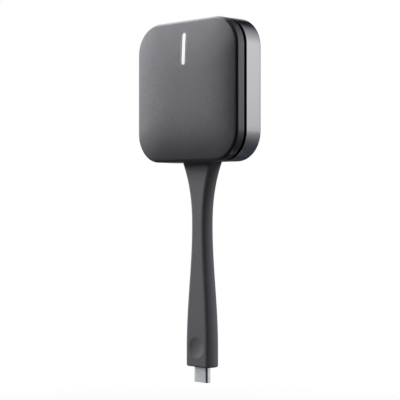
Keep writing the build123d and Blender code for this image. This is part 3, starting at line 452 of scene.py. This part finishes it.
# Push switch: a black moulded body with four tinned feet, a plunger, and a sprung steel disc.
# The disc gives way as the plunger comes down, to a quarter of its height.
switch_black = finish("switch_moulding", (0.014, 0.014, 0.015), (0.024, 0.024, 0.025), (0.35, 0.5),
                      0.15, 0.003)
plunger_grey = finish("plunger_moulding", (0.3, 0.29, 0.27), (0.38, 0.37, 0.35), (0.4, 0.52),
                      0.15, 0.003)
dress(switch_black, "switch_housing")
dress(plunger_grey, "switch_plunger")
dress(tin, "switch_terminals")

DISC_BASE, DISC_RISE, DISC_HALF, DISC_SHEET = -0.3, 0.6, 2.0, 0.12
disc_ball = (DISC_HALF**2 + DISC_RISE**2) / (2 * DISC_RISE)
out = np.linspace(0, DISC_HALF, 12)
disc_top = DISC_BASE - DISC_RISE + disc_ball - np.sqrt(disc_ball**2 - out**2)
disc = np.concatenate([np.stack([out, disc_top], 1), np.stack([out, disc_top + DISC_SHEET], 1)[::-1]])
snap_disc = skin("snap_disc", [turned(disc, 0.0, HEAD_Z)], spring, sharp=40.0)
fit(snap_disc, "housing", "spring_steel", "switch_dome")
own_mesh(snap_disc)


# Status lights: three lit white diodes on the board, each a clear lens over pale yellow phosphor.
# A black moulded sleeve over them keeps their light on the bar's pipe.
dress(finish("diode_lens", (0.86, 0.82, 0.6), (0.94, 0.91, 0.74), (0.15, 0.25), 0.1, 0.001,
             Emission_Color=(1.0, 0.96, 0.88, 1), Emission_Strength=0.6), "leds")
black = finish("black_moulding", (0.003, 0.003, 0.0032), (0.005, 0.005, 0.0053), (0.55, 0.7),
               0.2, 0.003, Specular_IOR_Level=0.06)
dress(black, "led_baffle")


# Middle frame: a black moulding that closes the shell and guides the pressed cap with its collar.
# It carries two copper antenna foils, fed by sprung gold pins from the board.
foil = finish("antenna_foil", (0.66, 0.33, 0.2), (0.8, 0.46, 0.3), (0.22, 0.36), 0.15, 0.002,
              1.0, (0.1, 1, 1))
dress(black, "mid_frame")
dress(foil, "antenna_left", "antenna_right")
dress(gold, "antenna_pins")


# Painted shade: a thin black strip laid on the shell's rim, set back a little from its outer edge.
# It darkens the gap under the cap all round, where shade falls on the bare metal.
SHADE_INSET, SHADE_SHEET = 0.3, 0.12
shade_levels = [ring(tub, -SHADE_INSET, SHELL_FRONT), ring(tub, -SHADE_INSET, SHELL_FRONT - SHADE_SHEET)]
shade_levels += [ring(tub, -SHELL_WALL, SHELL_FRONT - SHADE_SHEET), ring(tub, -SHELL_WALL, SHELL_FRONT)]
rim_shade_strip = skin("rim_shade_strip", [head_grid(shade_levels, head_lap)], black, wrap=True)
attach(rim_shade_strip, "housing")


# Return domes: four hollow silicone cones between frame and button plate.
# They give way as the cap is pressed, and keep 84 % of their height at full travel.
SEAT, PLATE_REAR, CONE_X, CONE_Z = -4.7, -7.85, 9.5, 19.65
roof = PLATE_REAR + 0.45
cone = [(0, PLATE_REAR), (1.5, PLATE_REAR), (2.5, SEAT - 0.6), (2.5, SEAT)]
cone += [(1.6, SEAT), (1.05, roof), (0, roof)]
cones = [turned(cone, i * CONE_X, HEAD_Z + k * CONE_Z) for i in (-1, 1) for k in (-1, 1)]
silicone = finish("silicone", (0.42, 0.42, 0.42), (0.54, 0.54, 0.54), (0.35, 0.5), 0.3, 0.003,
                  Subsurface_Weight=0.2)
return_cones = skin("return_cones", cones, silicone)
fit(return_cones, "housing", "silicone", "return_domes")
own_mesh(return_cones)


# Button plate: a stiff black moulding, staked behind the cap.
# It has guide posts, hooks that hold it in the frame, and in its middle the striker for the switch.
dress(black, "button_plate")


# Light bar: a clear guide with white diffusing pigment, flush in the cap, lit from behind.
# Its flange sits behind the cap's roof, and its pipe runs down to the status lights.
CAP_HALF, CAP_CORNER, CAP_CHAMFER = 29.65, 12.6, 0.85
CAP_REAR, CAP_SHOULDER, FACE_EDGE, CROWN = -5.8, -9.2, -10.15, 1.4
CAP_WALL, ROOF_INSIDE = 1.5, -9.05
CROWN_POWER = 3.3
BAR_Z, BAR_HALF, BAR_END = 17.55, 0.9, 6.62
BAR_FLANGE, BAR_FLANGE_DEPTH, PIPE_END = 1.1, 0.8, -0.3
BAR_TINT = (0.97, 0.985, 1.0, 1)
face_half, face_corner = CAP_HALF - CAP_CHAMFER, CAP_CORNER - CAP_CHAMFER


def crown_depth(x, z):
    """The face's crown: q is how far out a point lies, as the share by which the face's outline has
    to shrink to meet it, and the face stands CROWN times 1 - q to the CROWN_POWER proud of its edge."""
    x, z = np.abs(x), np.abs(z)
    core = face_half - face_corner
    straight = np.maximum(x, z) / face_half
    total, square = x + z, np.maximum(x**2 + z**2, 1e-12)
    root = np.sqrt(np.maximum((core * total) ** 2 - square * (2 * core**2 - face_corner**2), 0))
    rounded = square / (core * total + root + 1e-12)
    q = np.where(np.minimum(x, z) > core * straight, rounded, straight)
    return FACE_EDGE - CROWN * (1 - q**CROWN_POWER)


bar = (BAR_HALF, BAR_END, BAR_HALF)
bar_lap = turn(8, 16)
front_levels = [ring(bar, -BAR_HALF, 0), (0.5, BAR_END - 0.45, 0.5, 0), ring(bar, 0, 0)]
bar_front = head_grid(front_levels, bar_lap, BAR_Z)
bar_front[..., 1] = crown_depth(bar_front[..., 0], bar_front[..., 2])
rear_levels = [ring(bar, 0, ROOF_INSIDE), ring(bar, BAR_FLANGE, ROOF_INSIDE)]
rear_levels += [ring(bar, step, ROOF_INSIDE + BAR_FLANGE_DEPTH) for step in (BAR_FLANGE, 0)]
rear_levels += [ring(bar, 0, PIPE_END), ring(bar, -BAR_HALF, PIPE_END)]
bar_grid = np.concatenate([bar_front, head_grid(rear_levels, bar_lap, BAR_Z)])
bar_grid[..., 2] += HEAD_Z
glow = finish("lit_diffuser", (0.24, 0.245, 0.25), (0.26, 0.265, 0.27), (0.3, 0.36), 0.3, 0.001,
              Emission_Color=BAR_TINT, Emission_Strength=0.35)
light_bar = skin("light_bar", [bar_grid], glow)
fit(light_bar, "button", "clear_guide", "light_guide")
break_edges(light_bar, 0.04)


# Front cap: the whole face is the button, a hollow moulding in fine matt metallic grey paint.
# Its face is crowned, most of all towards its edges, and turns softly into a chamfer down to the side.
# Four stakes inside hold the button plate.
FACE_RINGS, SOFT_RINGS = 46, 8
SOFT, SLOT_PLAY = 0.3, 0.05
STAKE_X, STAKE_Z, STAKE_ROOT, STAKE_END = 14.0, 8.0, -9.3, -7.45
slot_ring = head_grid([ring(bar, SLOT_PLAY, 0)], head_lap, BAR_Z)
face_outline = (face_half, face_half, face_corner)
turn_levels = [ring(face_outline, step, FACE_EDGE + max(step, 0)) for step in (-SOFT, 0, SOFT / 2)]
turn_in, turn_out, turn_down = (head_grid([level], head_lap, 0) for level in turn_levels)
share = np.linspace(0, 1, FACE_RINGS)[:, None, None]
face = (1 - share) * slot_ring + share * turn_in
face[..., 1] = crown_depth(face[..., 0], face[..., 2])
share = np.linspace(0, 1, SOFT_RINGS + 1)[1:, None, None]
soft_edge = (1 - share) ** 2 * face[-1:] + 2 * share * (1 - share) * turn_out + share**2 * turn_down
side = (CAP_HALF, CAP_HALF, CAP_CORNER)
side_levels = [ring(side, 0, CAP_SHOULDER), ring(side, 0, CAP_REAR)]
side_levels += [ring(side, -CAP_WALL, CAP_REAR), ring(side, -CAP_WALL, ROOF_INSIDE)]
slot_rear = slot_ring.copy()
slot_rear[..., 1] = ROOF_INSIDE
cap_grid = np.concatenate([face, soft_edge, head_grid(side_levels, head_lap, 0), slot_rear])
cap_grid[..., 2] += HEAD_Z
paint = finish("cap_paint", (0.104, 0.104, 0.109), (0.143, 0.143, 0.15), (0.22, 0.25),
               0.58, 0.003, 0.9)
cap = skin("cap", [cap_grid], paint, sharp=12.0, wrap=True)
fit(cap, "button", "cap_plastic", "front_cap")
break_edges(cap, 0.08)

stake = [(0, STAKE_ROOT), (0.7, STAKE_ROOT), (0.7, PLATE_REAR)]
stake += [(1.3, PLATE_REAR), (1.3, STAKE_END), (0, STAKE_END)]
stakes = [turned(stake, i * STAKE_X, HEAD_Z + k * STAKE_Z) for i in (-1, 1) for k in (-1, 1)]
fit(skin("cap_stakes", stakes, paint), "button", "cap_plastic", "front_cap")

# Painted glow: the bar's light that spills onto the paint beside it is painted into the paint's
# emission, full at the slot, gone 1.5 mm further out.
# The distance is taken from the bar's middle line, which ends a little before the ends' centres.
SPILL_NEAR, SPILL_FAR, SPILL_SHORT = 0.9, 2.4, 0.6
between = {0: own_place(paint), 1: (0, 0, (HEAD_Z + BAR_Z) * 0.001)}
from_bar = add(paint, "ShaderNodeVectorMath", between, operation="SUBTRACT")
from_bar = add(paint, "ShaderNodeSeparateXYZ", {0: from_bar}).node.outputs
along = add(paint, "ShaderNodeMath", {0: from_bar["Z"]}, operation="ABSOLUTE")
past = add(paint, "ShaderNodeMath", {0: along, 1: (BAR_END - BAR_HALF - SPILL_SHORT) * 0.001},
           operation="SUBTRACT")
past = add(paint, "ShaderNodeMath", {0: past, 1: 0.0}, operation="MAXIMUM")
away = add(paint, "ShaderNodeCombineXYZ", {"X": from_bar["X"], "Z": past})
away = add(paint, "ShaderNodeVectorMath", {0: away}, operation="LENGTH").node.outputs["Value"]
fall = {"Value": away, "From Min": SPILL_NEAR * 0.001, "From Max": SPILL_FAR * 0.001}
fall.update({"To Min": 0.08, "To Max": 0.0})
painted_glow = add(paint, "ShaderNodeMapRange", fall, interpolation_type="SMOOTHSTEP")
paint_shader = paint.node_tree.nodes["Principled BSDF"]
paint_shader.inputs["Emission Color"].default_value = BAR_TINT
paint.node_tree.links.new(painted_glow, paint_shader.inputs["Emission Strength"])


# Studio floor and surround: a pale floor well below the hanging dongle, which fades to white far out.
# The floor is darker to lamplight than to the eye, so that it throws little light up at the dongle.
# The surround is white to the eye and in reflections, and a soft grey fill to matt surfaces.
FLOOR_Z, FLOOR_RADII = -0.157, (0, 0.2, 0.6, 1.5, 6.0)
FADE_START, FADE_END = 0.35, 1.1


def stage_disc(name, radii, heights, material):
    """A surface of revolution round Z, in metres: radius times cosine and sine, and a height."""
    radius, height = np.asarray(radii, float)[:, None], np.asarray(heights, float)[:, None]
    angle = np.linspace(0, 2 * np.pi, 96, endpoint=False)
    x, y = radius * np.cos(angle), radius * np.sin(angle)
    piece = skin(name, [np.stack([x, y, height + 0 * x], 2) * 1000], material)
    return piece


def seen_directly(owner):
    """1 where a ray comes from the camera, from a gloss or through glass, and 0 for lamplight."""
    rays = owner.node_tree.nodes.new("ShaderNodeLightPath").outputs
    total = rays["Is Camera Ray"]
    for key in ("Is Glossy Ray", "Is Transmission Ray"):
        total = add(owner, "ShaderNodeMath", {0: total, 1: rays[key]}, operation="MAXIMUM")
    return total


def surface(material, shader):
    """The shader becomes what the material shows."""
    material.node_tree.links.new(shader, material.node_tree.nodes["Material Output"].inputs["Surface"])


floor_paint = finish("floor_paint", (0.62, 0.62, 0.62), (0.64, 0.64, 0.64), (0.7, 0.8), 3.0, 0.01)
distance = add(floor_paint, "ShaderNodeVectorMath", {0: own_place(floor_paint)}, operation="LENGTH")
distance = distance.node.outputs["Value"]
edge = {"Value": distance, "From Min": FADE_START, "From Max": FADE_END}
fade = add(floor_paint, "ShaderNodeMapRange", edge, interpolation_type="SMOOTHSTEP")
shown = {0: fade, 1: seen_directly(floor_paint)}
fade = add(floor_paint, "ShaderNodeMath", shown, operation="MULTIPLY")
white = add(floor_paint, "ShaderNodeEmission", {"Color": (1, 1, 1, 1), "Strength": 1.0})
floor_shader = floor_paint.node_tree.nodes["Principled BSDF"]
floor_tone = floor_shader.inputs["Base Color"].links[0].from_socket
floor_tone = blend(floor_paint, seen_directly(floor_paint), (0.16, 0.16, 0.16, 1), floor_tone)
floor_paint.node_tree.links.new(floor_tone, floor_shader.inputs["Base Color"])
mixed = {0: fade, 1: floor_shader.outputs[0], 2: white}
surface(floor_paint, add(floor_paint, "ShaderNodeMixShader", mixed))
stage_disc("floor", FLOOR_RADII, (FLOOR_Z,) * len(FLOOR_RADII), floor_paint)

world = bpy.data.worlds.new("surround")
world.use_nodes = True
bpy.context.scene.world = world
fill = blend(world, seen_directly(world), (0.42, 0.42, 0.427, 1), (1, 1, 1, 1))
world.node_tree.links.new(fill, world.node_tree.nodes["Background"].inputs["Color"])


# Tent: a large grey dome round the dongle, seen only in reflections.
# It is light to the left and to the right rear, each with its own rise and fall over the height,
# a little light low down at the left rear, and dark with a trace of blue elsewhere.
TENT_FOOT, TENT_MIDDLE, TENT_START = -0.14, 0.069, -0.15
TENT_FLOOR_RADIUS, TENT_RADIUS = 0.7, 1.4
TENT_TINT, DUSK_TINT = (0.985, 0.985, 1.0, 1), (0.35, 0.45, 1.0, 1)
TENT_EYE = (0, 0, 0.1)
LEFT_LIGHT, LOW_LIGHT, DUSK_LIGHT = 4.05, 0.035, 0.02


def reflected(name):
    """A material for light that reflections find and that isn't sampled as a lamp."""
    material = bpy.data.materials.new(name)
    material.use_nodes = True
    material.cycles.emission_sampling = "NONE"
    return material


def only_in_reflections(piece):
    """Hides the piece from the camera, from lamplight, from glass and from shadows."""
    piece.visible_camera = piece.visible_diffuse = False
    piece.visible_transmission = piece.visible_shadow = False


tent = reflected("tent_cloth")


def reckon(operation, first, second=0.0):
    """A sum of the tent's tree."""
    return add(tent, "ShaderNodeMath", {0: first, 1: second}, operation=operation)


def graded(value, stops):
    """A smooth run of light over an angle in degrees, through pairs of angle and share."""
    low, high = stops[0][0], stops[-1][0]
    position = add(tent, "ShaderNodeMapRange", {"Value": value, "From Min": low, "From Max": high})
    ramp = add(tent, "ShaderNodeValToRGB", {0: position})
    elements = ramp.node.color_ramp.elements
    while len(elements) < len(stops):
        elements.new(0.5)
    for element, (angle, share) in zip(elements, stops):
        element.position = (angle - low) / (high - low)
        element.color = (share, share, share, 1)
    return ramp


toward = add(tent, "ShaderNodeVectorMath", {0: own_place(tent), 1: TENT_EYE}, operation="SUBTRACT")
toward = add(tent, "ShaderNodeVectorMath", {0: toward}, operation="NORMALIZE")
x, y, z = add(tent, "ShaderNodeSeparateXYZ", {0: toward}).node.outputs
left_angle = reckon("ARCTAN2", reckon("MULTIPLY", x, -1.0), reckon("MULTIPLY", y, -1.0))
left_angle = reckon("DEGREES", left_angle)
back_angle = reckon("DEGREES", reckon("ARCTAN2", x, y))
height_angle = reckon("DEGREES", reckon("ARCSINE", z))
left = graded(left_angle, [
    (-60, 0.0), (-25, 0.015), (8, 0.022), (20, 0.03), (25, 0.045), (28, 0.1), (31, 0.22),
    (34, 0.345), (40, 0.435), (44.6, 0.475), (50, 0.56), (61, 0.815), (75, 0.895), (96, 0.89),
    (110, 0.8), (125, 0.5), (138, 0.15), (150, 0.0)])
left_rise = graded(height_angle, [
    (-40, 0.02), (-30, 0.04), (-18, 0.05), (-13, 0.06), (-8, 0.085), (-4, 0.165), (0, 0.34),
    (4, 0.50), (7, 0.65), (12, 0.73), (19, 0.80), (35, 0.84), (50, 0.74), (60, 0.62), (75, 0.2),
    (90, 0.0)])
back = graded(back_angle, [
    (-20, 0.0), (-9, 0.04), (2, 0.25), (12, 0.52), (20, 0.77), (27, 0.89), (36, 0.98), (44, 1.0),
    (60, 1.0), (96, 0.95), (106, 0.3), (114, 0.0)])
back_rise = graded(height_angle, [
    (-42, 0.05), (-33, 0.08), (-27, 0.095), (-20, 0.155), (-12, 0.25), (-5, 0.35), (0, 0.48),
    (3, 0.79), (5, 0.93), (8, 1.0), (15, 0.93), (25, 0.71), (30, 0.61), (35, 0.54), (43, 0.48),
    (90, 0.3)])
low = graded(back_angle, [(-75, 0.0), (-55, 1.0), (5, 1.0), (25, 0.0)])
low_rise = graded(height_angle, [(-90, 1.0), (-28, 1.0), (-16, 0.0)])
light = reckon("MULTIPLY", reckon("MULTIPLY", left, left_rise), LEFT_LIGHT)
light = reckon("ADD", light, reckon("MULTIPLY", back, back_rise))
light = reckon("ADD", light, reckon("MULTIPLY", reckon("MULTIPLY", low, low_rise), LOW_LIGHT))
cloth = add(tent, "ShaderNodeEmission", {"Color": TENT_TINT, "Strength": light})
dusk = add(tent, "ShaderNodeEmission", {"Color": DUSK_TINT, "Strength": DUSK_LIGHT})
surface(tent, add(tent, "ShaderNodeAddShader", {0: cloth, 1: dusk}))
climb = np.linspace(TENT_START, np.pi / 2, 40)
tent_radii = (0, TENT_FLOOR_RADIUS, *(TENT_RADIUS * np.cos(climb)))
tent_heights = (TENT_FOOT, TENT_FOOT, *(TENT_MIDDLE + TENT_RADIUS * np.sin(climb)))
only_in_reflections(stage_disc("tent", tent_radii, tent_heights, tent))


# Card: a curved white strip to the right of the plug and the toe, seen only in reflections.
# It lights the plug's side and the lower tail, and leaves the head alone.
CARD_RADIUS, CARD_LOW, CARD_TOP, CARD_SHEET = 60, -30, 22, 1.01
card_light = reflected("card_light")
surface(card_light, add(card_light, "ShaderNodeEmission", {"Color": TENT_TINT, "Strength": 0.93}))
around = np.radians(np.linspace(-27, 75, 40))
strip = CARD_RADIUS * np.stack([np.cos(around), np.sin(around), 0 * around], 1)
bottom, top = strip + (0, 0, CARD_LOW), strip + (0, 0, CARD_TOP)
outwards = (CARD_SHEET, CARD_SHEET, 1)
card = skin("card", [np.stack([bottom, top, top * outwards, bottom * outwards], 1)], card_light)
only_in_reflections(card)


# Lamps: three large soft lamps, square and kept out of reflections.
# One stands to the left front, one to the right rear, and one hangs above.
def lamp(name, watts, size, place, aim=(0.0, 0.0, 0.08), spread=180):
    """A lamp of this size in metres, turned so that it looks at the point that it is aimed at."""
    data = bpy.data.lights.new(name, "AREA")
    data.energy = watts
    data.size = size
    data.spread = np.radians(spread)
    unit = bpy.data.objects.new(name, data)
    unit.location = place
    unit.rotation_euler = (unit.location - Vector(aim)).to_track_quat("Z", "Y").to_euler()
    unit.visible_glossy = False
    bpy.context.scene.collection.objects.link(unit)


lamp("left_lamp", 1.7, 0.4, (-0.42, -0.28, 0.36), (0.0, 0.0, 0.13), 60)
lamp("right_lamp", 26.0, 0.5, (0.42, 0.80, 0.72))
lamp("top_lamp", 1.5, 0.6, (0.0, 0.0, 0.95))
